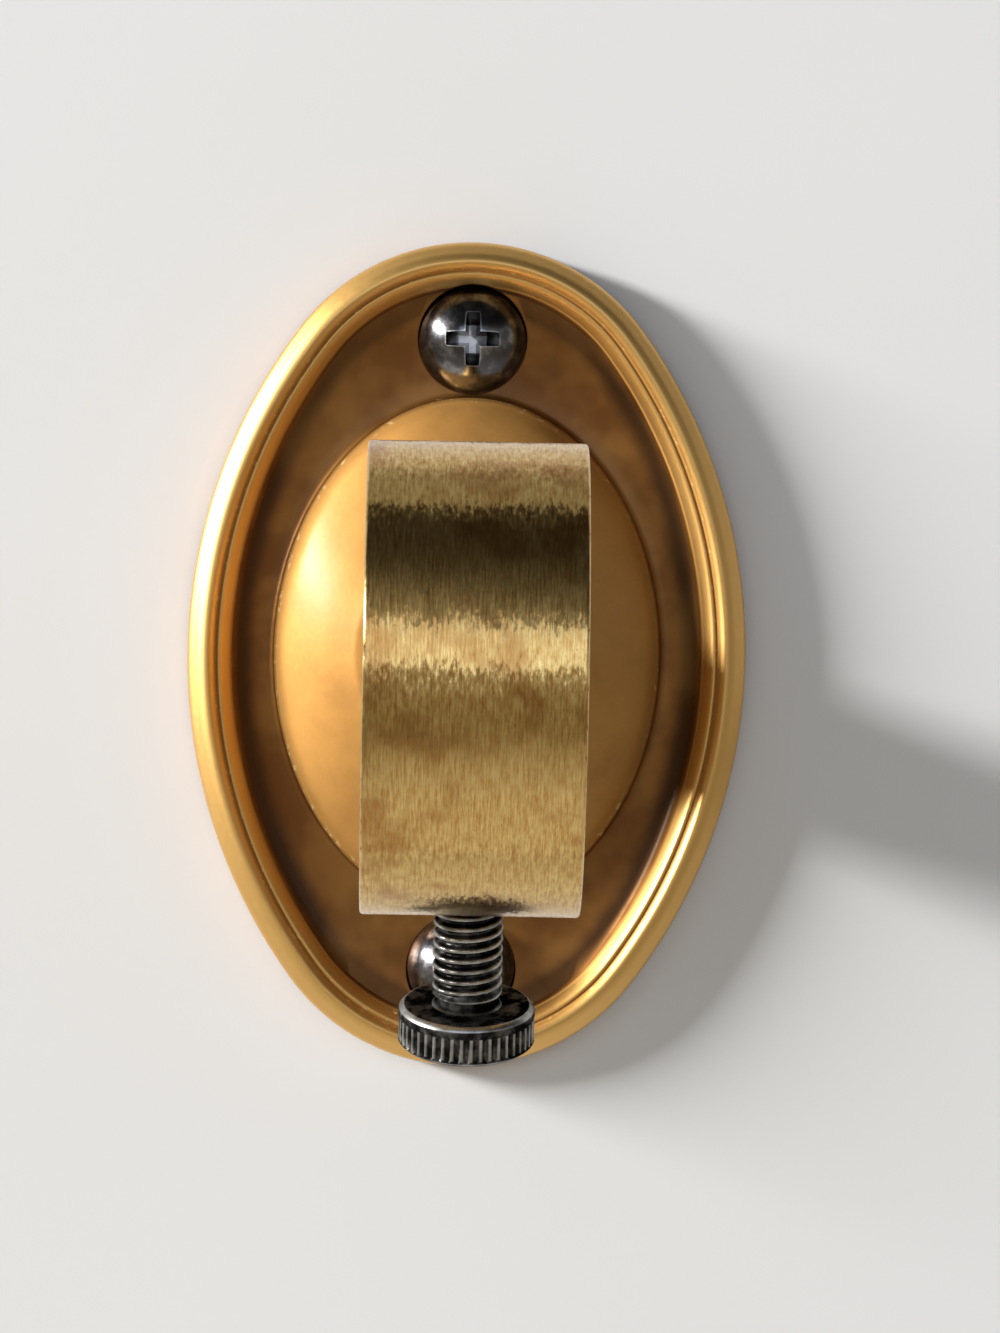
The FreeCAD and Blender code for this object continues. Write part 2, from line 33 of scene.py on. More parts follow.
MM = 0.001
FULL_TURN = 2 * math.pi
ARC_STEP = math.radians(15)
SHARP_ANGLE = math.radians(38)
ON_AXIS = 1e-6
LEAST_DEPTH = 1e-9
OUT = Vector((0, -1, 0))
IN = Vector((0, 1, 0))
RIGHT = Vector((1, 0, 0))

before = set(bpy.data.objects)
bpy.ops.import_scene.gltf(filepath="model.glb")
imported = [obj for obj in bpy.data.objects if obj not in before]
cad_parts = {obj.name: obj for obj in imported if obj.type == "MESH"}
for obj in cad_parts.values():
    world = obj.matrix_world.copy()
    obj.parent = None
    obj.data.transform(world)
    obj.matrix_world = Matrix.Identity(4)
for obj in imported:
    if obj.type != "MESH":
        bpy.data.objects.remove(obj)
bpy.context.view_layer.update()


# The CAD pieces' boxes give the driving sizes


def box_mm(node):
    """A CAD piece's lowest and highest corner, in millimetres."""
    return [Vector(corner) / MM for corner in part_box(node)]


plate_low, plate_high = box_mm("wall_plate")
ring_low, ring_high = box_mm("clamp_ring")
arm_low, arm_high = box_mm("arm")
PLATE_HALF = Vector((plate_high.x, plate_high.z))
BOSS_FACE = -plate_low.y
ARM_SEAT = -arm_high.y
FOOT_RADIUS = arm_high.x
RING_CENTRE = (ring_low + ring_high) / 2
RING_RADIUS = (ring_high.z - ring_low.z) / 2
RING_HALF_WIDTH = ring_high.x
RING_WALL = 2.6
BORE_RADIUS = RING_RADIUS - RING_WALL


# Curves and profiles


def smooth_step(share):
    """0 up to 0, 1 from 1 on, and a smooth rise between them."""
    share = min(max(share, 0), 1)
    return share * share * (3 - 2 * share)


def turned(vector, angle):
    """A flat vector turned by an angle."""
    return Matrix.Rotation(angle, 2) @ vector


def soften(corners, closed=False):
    """The path through (x, y, rounding) corners, with an arc of that rounding at each corner."""
    path = []
    for index, (x, y, rounding) in enumerate(corners):
        corner = Vector((x, y))
        at_end = not closed and index in (0, len(corners) - 1)
        if at_end or not rounding:
            path.append(corner)
            continue
        back = (Vector(corners[index - 1][:2]) - corner).normalized()
        on = (Vector(corners[(index + 1) % len(corners)][:2]) - corner).normalized()
        half_angle = back.angle(on) / 2
        centre = corner + (back + on).normalized() * rounding / math.sin(half_angle)
        start = corner + back * rounding / math.tan(half_angle) - centre
        sweep = math.pi - 2 * half_angle
        if back.x * on.y - back.y * on.x > 0:
            sweep = -sweep
        steps = max(2, round(abs(sweep) / ARC_STEP))
        for step in range(steps + 1):
            path.append(centre + turned(start, sweep * step / steps))
    return path


def arc_through(start, end, radius, steps):
    """Points of the arc from start to end that bulges to the left of the way there."""
    start, end = Vector(start), Vector(end)
    chord = end - start
    left = Vector((-chord.y, chord.x)).normalized()
    centre = start + chord / 2 - left * math.sqrt(radius**2 - chord.length_squared / 4)
    sweep = -2 * math.asin(chord.length / (2 * radius))
    return [centre + turned(start - centre, sweep * step / steps) for step in range(steps + 1)]


def smooth_curve(knots, steps):
    """A smooth curve through the knots, with so many steps from each knot to the next."""
    knots = [Vector(knot) for knot in knots]
    ends = [knots[0] * 2 - knots[1]] + knots + [knots[-1] * 2 - knots[-2]]
    path = []
    for a, b, c, d in zip(ends, ends[1:], ends[2:], ends[3:]):
        square = a * 2 - b * 5 + c * 4 - d
        cube = b * 3 - a - c * 3 + d
        for step in range(steps):
            share = step / steps
            path.append((b * 2 + (c - a) * share + square * share**2 + cube * share**3) / 2)
    return path + [knots[-1]]


# Meshes


def new_piece(name, points, faces, wear_and_painted_light=None):
    """A mesh object from points in millimetres. Its last argument gives each point a number for the
    material: rubbing and patina, and in places painted shade and painted highlights.
    """
    mesh = bpy.data.meshes.new(name)
    mesh.from_pydata([Vector(point) * MM for point in points], [], faces)
    if wear_and_painted_light:
        point_values(mesh, "wear_and_painted_light", wear_and_painted_light)
    mesh.validate()
    mesh.shade_smooth()
    mesh.set_sharp_from_angle(angle=SHARP_ANGLE)
    piece = bpy.data.objects.new(name, mesh)
    bpy.context.scene.collection.objects.link(piece)
    return piece


def point_values(mesh, name, values):
    """Keeps a number for each point of a mesh."""
    mesh.attributes.new(name, "FLOAT", "POINT").data.foreach_set("value", values)


def skin(rings, closed=False):
    """Points and faces of a surface over rings of points. A ring of one point is a pole, and a ring may
    have a whole number of times as many points as the one before it or after it."""
    points, starts = [], []
    for ring in rings:
        starts.append(len(points))
        points += ring
    faces = []
    pairs = list(zip(range(len(rings)), range(1, len(rings))))
    if closed:
        pairs.append((len(rings) - 1, 0))
    for a, b in pairs:
        faces += strip(starts[a], len(rings[a]), starts[b], len(rings[b]))
    return points, faces


def strip(first_a, count_a, first_b, count_b):
    """The faces between two rings, given as their first point and how many they have."""
    more = max(count_a, count_b)
    if count_a == 1:
        return [(first_a, first_b + (i + 1) % more, first_b + i) for i in range(more)]
    if count_b == 1:
        return [(first_a + i, first_a + (i + 1) % more, first_b) for i in range(more)]
    faces = []
    fewer = min(count_a, count_b)
    for index in range(fewer):
        side_a = ring_part(first_a, count_a, index, fewer)
        side_b = ring_part(first_b, count_b, index, fewer)
        faces.append(tuple(side_a + side_b[::-1]))
    return faces


def ring_part(first, count, index, parts):
    """The points of one of a ring's equal parts, both ends included."""
    share = count // parts
    return [first + (index * share + step) % count for step in range(share + 1)]


def lathe(profile, segments, place, cut=None):
    """A turned surface over rows of (radius, height), with up to three more values: the depth there of
    what cut(angle, height) tells (a thread or a knurl), the row's wear, and how many points it has.
    Returns rings and the wear of each point."""
    rings, wear_and_painted_light = [], []
    for row in profile:
        radius, height, depth, row_wear_and_painted_light, count = (*row, *(0, 0.0, segments)[len(row) - 2 :])
        if radius < ON_AXIS:
            rings.append([place @ Vector((0, 0, height))])
            wear_and_painted_light.append(row_wear_and_painted_light)
            continue
        ring = []
        for index in range(count):
            angle = FULL_TURN * index / count
            groove = cut(angle, height) if depth else 0
            reach = radius - depth * groove
            ring.append(place @ Vector((reach * math.cos(angle), reach * math.sin(angle), height)))
            wear_and_painted_light.append(1 - groove if depth else row_wear_and_painted_light)
        rings.append(ring)
    return rings, wear_and_painted_light


def turned_piece(name, profile, segments, place, cut=None, closed=False):
    """A turned mesh object from a profile, as in lathe."""
    rings, wear_and_painted_light = lathe(profile, segments, place, cut)
    points, faces = skin(rings, closed)
    return new_piece(name, points, faces, wear_and_painted_light)


def helix(pitch, crest, root):
    """A thread's groove, 0 on the crest and 1 at the root, for crest and root as shares of the pitch."""

    def groove(angle, height):
        phase = (height / pitch - angle / FULL_TURN) % 1
        from_crest = min(phase, 1 - phase) - crest / 2
        slope = (1 - crest - root) / 2
        return smooth_step(from_crest / slope)

    return groove


def thread_rows(radius, start, end, pitch, depth, fade, rows_per_turn):
    """Rows of a thread from start to end, whose groove fades in and out over a length. Its depth never
    gets to 0, so that every row takes its wear from the groove."""
    count = round(abs(end - start) / pitch * rows_per_turn)
    rows = []
    for index in range(count + 1):
        height = start + (end - start) * index / count
        from_end = min(abs(height - start), abs(height - end))
        rows.append((radius, height, depth * min(from_end / fade, 1) + LEAST_DEPTH))
    return rows


def carve(piece, cutter):
    """Cuts one mesh out of another for good."""
    change = piece.modifiers.new("carve", "BOOLEAN")
    change.object = cutter
    change.solver = "EXACT"
    graph = bpy.context.evaluated_depsgraph_get()
    cut_mesh = bpy.data.meshes.new_from_object(piece.evaluated_get(graph))
    piece.modifiers.clear()
    whole = piece.data
    piece.data = cut_mesh
    cut_mesh.set_sharp_from_angle(angle=SHARP_ANGLE)
    bpy.data.meshes.remove(whole)
    bpy.data.meshes.remove(cutter.data)


def facing(direction, origin):
    """The place whose own Z points along a direction, from an origin in millimetres."""
    turn = Vector(direction).to_track_quat("Z", "Y").to_matrix().to_4x4()
    return Matrix.Translation(origin) @ turn


def cross_cutter(name, top, span, wing, depth, place, taper=0.45, above=0.6):
    """A tapered cross with its four wings, for the recess in a screw's head."""
    rings = []
    for height, share in ((top - depth, taper), (top + above, 1 + (1 - taper) * above / depth)):
        reach, half = span / 2 * share, wing / 2 * share
        ring = []
        for turn in range(4):
            quarter = Matrix.Rotation(turn * math.pi / 2, 3, "Z")
            for x, y in ((reach, -half), (reach, half), (half, half)):
                ring.append(place @ (quarter @ Vector((x, y, 0)) + Vector((0, 0, height))))
        rings.append(ring)
    points, faces = skin(rings)
    corners = len(rings[0])
    faces += [tuple(range(corners))[::-1], tuple(range(corners, 2 * corners))]
    # A wear of 1 on every point gives the recess cut with this the bright rubbed colour: a painted
    # reflection on the gunmetal wall screws, which the zinc material does not read.
    return new_piece(name, points, faces, [1.0] * len(points))


# The oval wall plate

PLATE_SEGMENTS = 240
PLATE_ANGLES = [FULL_TURN * index / PLATE_SEGMENTS for index in range(PLATE_SEGMENTS)]
SIDE_FLATNESS = 0.623
GROOVE_INSET = 2.32
DISH_INSET = 3.6
DISH_LEVEL = 1.55
DISH_DEPTH = 0.75
DISH_ROWS = 12
BOSS_HALF = Vector((15.5, 20.64))
BOSS_STEP = 0.7
BOSS_FACE_RADIUS = 8.8
BOSS_WEAR = 0.32
BARE_WEAR = 0.3
POCKET_RADIUS = 6.5
POCKET_DEPTH = 5.0
ARM_SCREW_HOLE = 2.65
WALL_SCREW_HOLE = 2.6
SCREW_SEAT = 1.4
CREASE_WEAR = 0.6
SEAT_ROOM = 0.05

# The boss's rise as (share of the way in, share of the way up)
BOSS_CURVE = [(0.0, 0.0), (0.17, 0.32), (0.55, 0.68), (1.0, 1.0)]

# The step round the boss as (outwards, up, wear), from the dish upwards
BOSS_FOOT = [
    (0.62, 0.03, 0.0),
    (0.36, 0.1, -0.08),
    (0.16, 0.22, -0.05),
    (0.04, 0.4, 0.2),
    (-0.01, 0.58, CREASE_WEAR),
    (-0.08, 0.82, CREASE_WEAR + 0.02),
]


def both_ways(length):
    """The same length across and up."""
    return Vector((length, length))


def oval_ring(half, level):
    """Points round an ellipse at a level."""
    ring = []
    for angle in PLATE_ANGLES:
        ring.append(Vector((half.x * math.cos(angle), -level, half.y * math.sin(angle))))
    return ring


def outline_point(direction):
    """Where a ray from the middle meets the plate's outline, and the outline's normal there. The outline
    is made of arcs: a flat one at each side and a round one at each end."""
    across, up = PLATE_HALF
    side = ((1 - SIDE_FLATNESS) * across**2 + (1 + SIDE_FLATNESS) * up**2) / (2 * across)
    past_middle = side - across
    end = (past_middle**2 + up**2 - side**2) / (2 * (up - side))
    sign_x, sign_z = (math.copysign(1, part) for part in direction)
    joint = Vector((past_middle * end, side * (up - end)))
    if abs(direction.y) * joint.x < abs(direction.x) * joint.y:
        centre, radius = Vector((-sign_x * past_middle, 0)), side
    else:
        centre, radius = Vector((0, sign_z * (up - end))), end
    along = direction.dot(centre)
    point = direction * (along + math.sqrt(along**2 - centre.length_squared + radius**2))
    return point, (point - centre) / radius


def rim_ring(inset, level):
    """The plate's outline moved inwards along its own normal."""
    ring = []
    for angle in PLATE_ANGLES:
        ray = Vector((PLATE_HALF.x * math.cos(angle), PLATE_HALF.y * math.sin(angle)))
        point, normal = outline_point(ray.normalized())
        point -= normal * inset
        ring.append(Vector((point.x, -level, point.y)))
    return ring


def rim_profile():
    """The rim's section as (inset, level): skirt, broad roll, groove, fine bead and inner wall."""
    skirt = [(0.18, 0.0), (0, 0.2)]
    roll = [(0, 2.4), (0.14, 2.86), (0.6, 3.34), (1.1, 3.78), (1.6, 3.97), (2.0, 3.78), (2.3, 3.44)]
    bead = [(2.34, 3.41), (2.55, 3.53), (2.78, 3.43), (3.1, 3.11), (3.45, 2.68)]
    inner_foot = (3.8, DISH_LEVEL + DISH_DEPTH - 0.04)
    curves = smooth_curve(roll, 5) + smooth_curve(bead + [inner_foot], 4)
    return skirt + [tuple(point) for point in curves]


def rim_wear_and_shade(inset, level):
    """1 on the rubbed crests, 0.05 low on the skirt and -0.3 at the inner wall's foot, with less in the
    groove between roll and bead. The dark at the inner wall's foot and in the groove is patina with
    painted shade."""
    if inset > 2.5:
        return -0.3 + 1.2 * smooth_step((level - 2.25) / 0.7)
    groove = 0.55 * smooth_step(1 - abs(inset - GROOVE_INSET) / 0.4)
    return 0.05 + 0.95 * smooth_step((level - 1.7) / 1.4) - groove


def dish_patina_and_shade(ring):
    """0 on the dish's open ground, and down to -0.6 in the corner inside the rim, where the dark is
    patina with painted shade.
    """
    wear_and_painted_light = []
    for point in ring:
        flat = Vector((point.x, point.z))
        edge, normal = outline_point(flat.normalized())
        inset = (edge - flat).dot(normal)
        wear_and_painted_light.append(-0.6 * smooth_step(1 - (inset - DISH_INSET) / 3.0))
    return wear_and_painted_light


def plate_rings():
    """The whole plate's surface as rings and the wear of each point, from its back's outer edge over
    the front to the back's middle."""
    rings, wear_and_painted_light = [], []

    def add(ring, value):
        rings.append(ring)
        wear_and_painted_light.extend(value if isinstance(value, list) else [value] * len(ring))

    for inset, level in rim_profile():
        add(rim_ring(inset, level), rim_wear_and_shade(inset, level))
    dish_edge = PLATE_HALF - both_ways(DISH_INSET)
    for row in range(DISH_ROWS - 2, 2, -1):
        share = row / DISH_ROWS
        half = BOSS_HALF + (dish_edge - BOSS_HALF) * share
        ring = oval_ring(half, DISH_LEVEL + DISH_DEPTH * share**2.3)
        add(ring, dish_patina_and_shade(ring))
    for outward, upward, value in BOSS_FOOT:
        add(oval_ring(BOSS_HALF + both_ways(outward), DISH_LEVEL + upward), value)
    foot = DISH_LEVEL + BOSS_STEP
    for inward, upward in smooth_curve(BOSS_CURVE, 8)[2:]:
        half = BOSS_HALF + (both_ways(BOSS_FACE_RADIUS) - BOSS_HALF) * inward
        add(oval_ring(half, foot + (BOSS_FACE - foot) * upward), BOSS_WEAR)
    seat_radius = FOOT_RADIUS + SEAT_ROOM
    turned_rows = [
        (seat_radius + 0.1, BOSS_FACE),
        (seat_radius, BOSS_FACE - 0.1),
        (seat_radius, ARM_SEAT),
        (ARM_SCREW_HOLE, ARM_SEAT),
        (ARM_SCREW_HOLE, POCKET_DEPTH),
        (POCKET_RADIUS, POCKET_DEPTH),
        (POCKET_RADIUS, 0.15),
        (POCKET_RADIUS + 0.15, 0.0),
    ]
    for radius, level in turned_rows:
        add(oval_ring(both_ways(radius), level), BARE_WEAR)
    return rings, wear_and_painted_light


def wall_plate():
    """The cast plate, with the wall screws' holes and seats cut out of it. Its crease attribute is 1 on
    each ring whose wear is near CREASE_WEAR: at the boss's foot, and at the rim's side."""
    rings, wear_and_painted_light = plate_rings()
    points, faces = skin(rings, closed=True)
    piece = new_piece("wall_plate_cast", points, faces, wear_and_painted_light)
    crease = [1.0 if abs(value - CREASE_WEAR) < 0.03 else 0.0 for value in wear_and_painted_light]
    point_values(piece.data, "crease", crease)
    for node in ("wall_screw_top", "wall_screw_bottom"):
        low, high = box_mm(node)
        seat_radius = (high.z - low.z) / 2 + SEAT_ROOM
        profile = [(0, -1), (WALL_SCREW_HOLE, -1), (WALL_SCREW_HOLE, SCREW_SEAT)]
        profile += [(seat_radius, SCREW_SEAT), (seat_radius, 4), (0, 4)]
        place = facing(OUT, (0, 0, (low.z + high.z) / 2))
        carve(piece, turned_piece("seat", profile, 72, place))
    return piece


# The arm

ARM_RADIUS = 6.0
FOOT_HEIGHT = 2.4
SADDLE_ROOM = 3
DRILL_HALF_ANGLE = math.radians(59)
ARM_THREAD = 2.5
RING_THREAD = 2.0


def arm():
    """The turned rod and its foot, in the plate's seat, with a saddle for the ring at its end."""
    reach = -arm_low.y - ARM_SEAT
    profile = soften(
        [
            (0, 0, 0),
            (FOOT_RADIUS, 0, 0.12),
            (FOOT_RADIUS, FOOT_HEIGHT, 0.6),
            (ARM_RADIUS + 0.45, FOOT_HEIGHT, 0.06),
            (ARM_RADIUS + 0.3, FOOT_HEIGHT + 0.35, 0.08),
            (ARM_RADIUS, FOOT_HEIGHT + 0.4, 0.15),
            (ARM_RADIUS, reach + SADDLE_ROOM, 0),
            (0, reach + SADDLE_ROOM, 0),
        ]
    )
    place = facing(OUT, (0, -ARM_SEAT, 0))
    piece = turned_piece("arm_turned", profile, 128, place)
    ring_room = [(0, -20), (RING_RADIUS, -20), (RING_RADIUS, 20), (0, 20)]
    carve(piece, turned_piece("ring_room", ring_room, 256, facing(RIGHT, RING_CENTRE)))
    arm_screw_tip = -box_mm("arm_screw")[0].y - ARM_SEAT
    ring_screw_tip = -box_mm("ring_screw")[1].y - ARM_SEAT
    end = -RING_CENTRE.y - RING_RADIUS - ARM_SEAT
    carve(piece, drilled("foot_thread", ARM_THREAD, -1, arm_screw_tip + 2, 1, place))
    carve(piece, drilled("end_thread", RING_THREAD, end + 3, ring_screw_tip - 2, -1, place))
    return piece


def drilled(name, radius, mouth, floor, direction, place):
    """What a drill takes away from its mouth to its floor, with the drill's point beyond."""
    point = floor + direction * radius / math.tan(DRILL_HALF_ANGLE)
    profile = [(0, mouth), (radius, mouth), (radius, floor), (0, point)]
    return turned_piece(name, profile[::direction], 48, place)


# The clamp ring

THUMB_TILT = math.radians(18)
RING_EDGE = 0.26
SPOT_FACE = 4.15
SPOT_DEPTH = 0.5
THUMB_HOLE = 2.5
COUNTERSINK = 3.85
RING_SCREW_HOLE = 2.15


def thumb_direction():
    """From the thumb screw's head towards the ring's middle."""
    return Vector((0, -math.sin(THUMB_TILT), math.cos(THUMB_TILT)))


def clamp_ring():
    """A slice of tube with eased edges, spot-faced and tapped below and countersunk inside."""
    section = [
        (BORE_RADIUS, -RING_HALF_WIDTH, RING_EDGE),
        (RING_RADIUS, -RING_HALF_WIDTH, RING_EDGE),
        (RING_RADIUS, RING_HALF_WIDTH, RING_EDGE),
        (BORE_RADIUS, RING_HALF_WIDTH, RING_EDGE),
    ]
    rows = []
    for radius, height in soften(section, closed=True):
        # Near the eased edges the wear is high, which paints the ring pale there: rubbing with a painted
        # highlight along the bevel.
        from_faces = min(RING_RADIUS - radius, radius - BORE_RADIUS) + RING_HALF_WIDTH - abs(height)
        rows.append((radius, height, 0, smooth_step(1.7 - 2.2 * from_faces / RING_EDGE)))
    place = facing(RIGHT, RING_CENTRE)
    piece = turned_piece("clamp_ring_brushed", rows, 256, place, closed=True)
    spot_floor = -(RING_RADIUS - SPOT_DEPTH)
    tapped = [
        (0, -RING_RADIUS - 3),
        (SPOT_FACE, -RING_RADIUS - 3),
        (SPOT_FACE, spot_floor),
        (THUMB_HOLE + 0.25, spot_floor),
        (THUMB_HOLE, spot_floor + 0.25),
        (THUMB_HOLE, -BORE_RADIUS + 2),
        (0, -BORE_RADIUS + 2),
    ]
    carve(piece, turned_piece("tapped_hole", tapped, 72, facing(thumb_direction(), RING_CENTRE)))
    countersunk = [
        (0, BORE_RADIUS - 3),
        (COUNTERSINK, BORE_RADIUS - 3),
        (COUNTERSINK, BORE_RADIUS + 0.45),
        (RING_SCREW_HOLE, BORE_RADIUS + 2.15),
        (RING_SCREW_HOLE, RING_RADIUS + 2),
        (0, RING_RADIUS + 2),
    ]
    carve(piece, turned_piece("countersink", countersunk, 72, facing(IN, RING_CENTRE)))
    return piece


# The screws and the washer


def thumb_screw():
    """A blackened machine screw with a straight-knurled head. Heights are along its axis, 0 at the
    ring's middle and below 0 towards the head."""
    segments, knurl_count = 88, 44
    tip, face, end = -BORE_RADIUS - 0.1, -24.2, -27.2
    radius, pitch, depth, neck = 2.45, 0.8, 0.44, 2.05
    head, edge, knurl_depth = 4.8, 0.35, 0.27
    thread = helix(pitch, 0.16, 0.16)

    def cut(angle, height):
        if height > face:
            return thread(angle, height)
        return 0.05 + 0.365 * (1 + math.cos(angle * knurl_count))

    def knurl_row(height, depth_here):
        return (head, height, depth_here, 0, segments * 4)

    knurl_start, knurl_end = end + edge + 0.15, face - edge - 0.4
    # The wear of 0.9 to 1 on the head's chamfers makes them bright: rubbed steel with a painted
    # highlight along them. The 0.8 and 0.7 on the small raised ring round the neck are a painted
    # highlight.
    profile = [
        (0, end + 0.12),
        (1.2, end + 0.12),
        (1.5, end, 0, 0.2),
        (head - edge - 0.1, end, 0, 0.1),
        (head - edge, end + 0.02, 0, 1.0),
        (head - 0.06, end + edge - 0.08, 0, 1.0),
        knurl_row(end + edge + 0.02, 0),
        knurl_row(knurl_start, knurl_depth),
        knurl_row((end + face) / 2, knurl_depth),
        knurl_row(knurl_end - 0.15, knurl_depth),
        knurl_row(knurl_end + 0.05, 0),
        (head, face - edge - 0.1, 0, 0.3),
        (head - 0.04, face - edge + 0.06, 0, 0.9),
        (head - edge + 0.1, face - 0.06, 0, 1.0),
        (head - edge - 0.02, face, 0, 0.9),
        (head - edge - 0.2, face, 0, 0.0),
        (2.6, face),
        (2.45, face + 0.02, 0, 0.8),
        (2.3, face + 0.14, 0, 0.7),
        (neck, face + 0.2),
        (neck, face + 0.8),
    ]
    profile += thread_rows(radius, face + 0.9, tip - 0.35, pitch, depth, 0.5, 16)
    profile += [(radius - 0.35, tip), (0, tip)]
    place = facing(thumb_direction(), RING_CENTRE)
    return turned_piece("thumb_screw_blackened", profile, segments, place, cut)


def cross_recess_screw(name, profile, segments, place, cut, recess):
    """A turned screw with a cross recess cut into its head."""
    piece = turned_piece(name, [tuple(row) for row in profile], segments, place, cut)
    carve(piece, cross_cutter("recess", place=place, **recess))
    return piece


def wall_screw(node):
    """A round-head wood screw: domed head, plain shank, coarse sharp thread and a point."""
    low, high = box_mm(node)
    head, shank, thread = (high.z - low.z) / 2, 1.9, 2.4
    head_length = -low.y - SCREW_SEAT
    length = high.y + SCREW_SEAT
    point, pitch, depth = 6.0, 2.1, 0.72
    point_rows = 12
    rows = [(0, -length, 0)]
    for row in range(1, point_rows + 1):
        share = row / point_rows
        rows.append((thread * share**0.8, -length + point * share, depth * share))
    rows += thread_rows(thread, -length + point + 0.1, -SCREW_SEAT - 2.5, pitch, depth, 0.01, 14)
    rows += [(shank + 0.1, -SCREW_SEAT - 1.6), (shank, -SCREW_SEAT - 1.2), (shank, -0.15)]
    rows += [(shank + 0.2, 0), (head - 0.15, 0), (head, 0.12)]
    dome_rise = head_length - 0.4
    dome_radius = (head**2 + dome_rise**2) / (2 * dome_rise)
    dome = arc_through((0, head_length), (head - 0.02, 0.42), dome_radius, 14)
    rows += dome[::-1]
    place = facing(OUT, (0, -SCREW_SEAT, (low.z + high.z) / 2))
    recess = {"top": head_length, "span": 5.0, "wing": 1.25, "depth": 2.3}
    return cross_recess_screw(f"{node}_gunmetal", rows, 56, place, helix(pitch, 0.06, 0.5), recess)


def arm_screw():
    """The pan-head machine screw behind the plate."""
    low, high = box_mm("arm_screw")
    washer_low, _ = box_mm("arm_washer")
    seat = -washer_low.y - 1.2
    head, radius, pitch = 4.75, 2.45, 0.8
    head_length = high.y + seat
    length = -low.y - seat
    rows = [(0, -length), (radius - 0.5, -length)]
    rows += thread_rows(radius, -length + 0.5, -1.6, pitch, 0.42, 0.5, 12)
    rows += [(radius, -0.1), (radius + 0.1, 0)]
    head_corners = [
        (radius + 0.1, 0, 0),
        (head, 0, 0.1),
        (head, head_length - 0.35, 1.0),
        (1.5, head_length, 0),
        (0, head_length, 0),
    ]
    rows += soften(head_corners)[1:]
    place = facing(IN, (0, -seat, 0))
    recess = {"top": head_length, "span": 5.0, "wing": 1.25, "depth": 2.2}
    return cross_recess_screw("arm_screw_zinc", rows, 64, place, helix(pitch, 0.2, 0.14), recess)


def ring_screw():
    """The countersunk machine screw inside the ring."""
    low, high = box_mm("ring_screw")
    head, radius, pitch = 3.8, 1.95, 0.7
    length = high.y - low.y
    rows = [(0, -length), (radius - 0.4, -length)]
    rows += thread_rows(radius, -length + 0.4, -2.6, pitch, 0.36, 0.4, 12)
    head_corners = [
        (radius, -2.3, 0),
        (radius, -(0.3 + head - radius), 0.1),
        (head, -0.3, 0.06),
        (head - 0.05, 0, 0.06),
        (0, 0, 0),
    ]
    rows += soften(head_corners)
    place = facing(OUT, (0, low.y, 0))
    recess = {"top": 0, "span": 4.5, "wing": 1.1, "depth": 1.8}
    return cross_recess_screw("ring_screw_zinc", rows, 56, place, helix(pitch, 0.2, 0.14), recess)


def arm_washer():
    """The split lock washer, pressed flat, with its slanting gap."""
    low, high = box_mm("arm_washer")
    inner, outer, thickness, soft = 2.6, 4.6, high.y - low.y, 0.08
    middle = (inner + outer) / 2
    gap, slant, steps = 0.8 / middle, math.radians(25), 96
    corners = [
        (inner, 0, soft),
        (outer, 0, soft),
        (outer, thickness, soft),
        (inner, thickness, soft),
    ]
    section = soften(corners, closed=True)
    place = facing(IN, (0, low.y, 0))
    rings = []
    for step in range(steps, -1, -1):
        ring = []
        for radius, height in section:
            lean = math.tan(slant) * (height - thickness / 2) / middle
            angle = lean + gap / 2 + (FULL_TURN - gap) * step / steps
            ring.append(place @ Vector((radius * math.cos(angle), radius * math.sin(angle), height)))
        rings.append(ring)
    points, faces = skin(rings)
    count = len(section)
    faces += [tuple(range(count))[::-1], tuple(range(steps * count, (steps + 1) * count))]
    return new_piece("arm_washer_zinc", points, faces)


# Materials


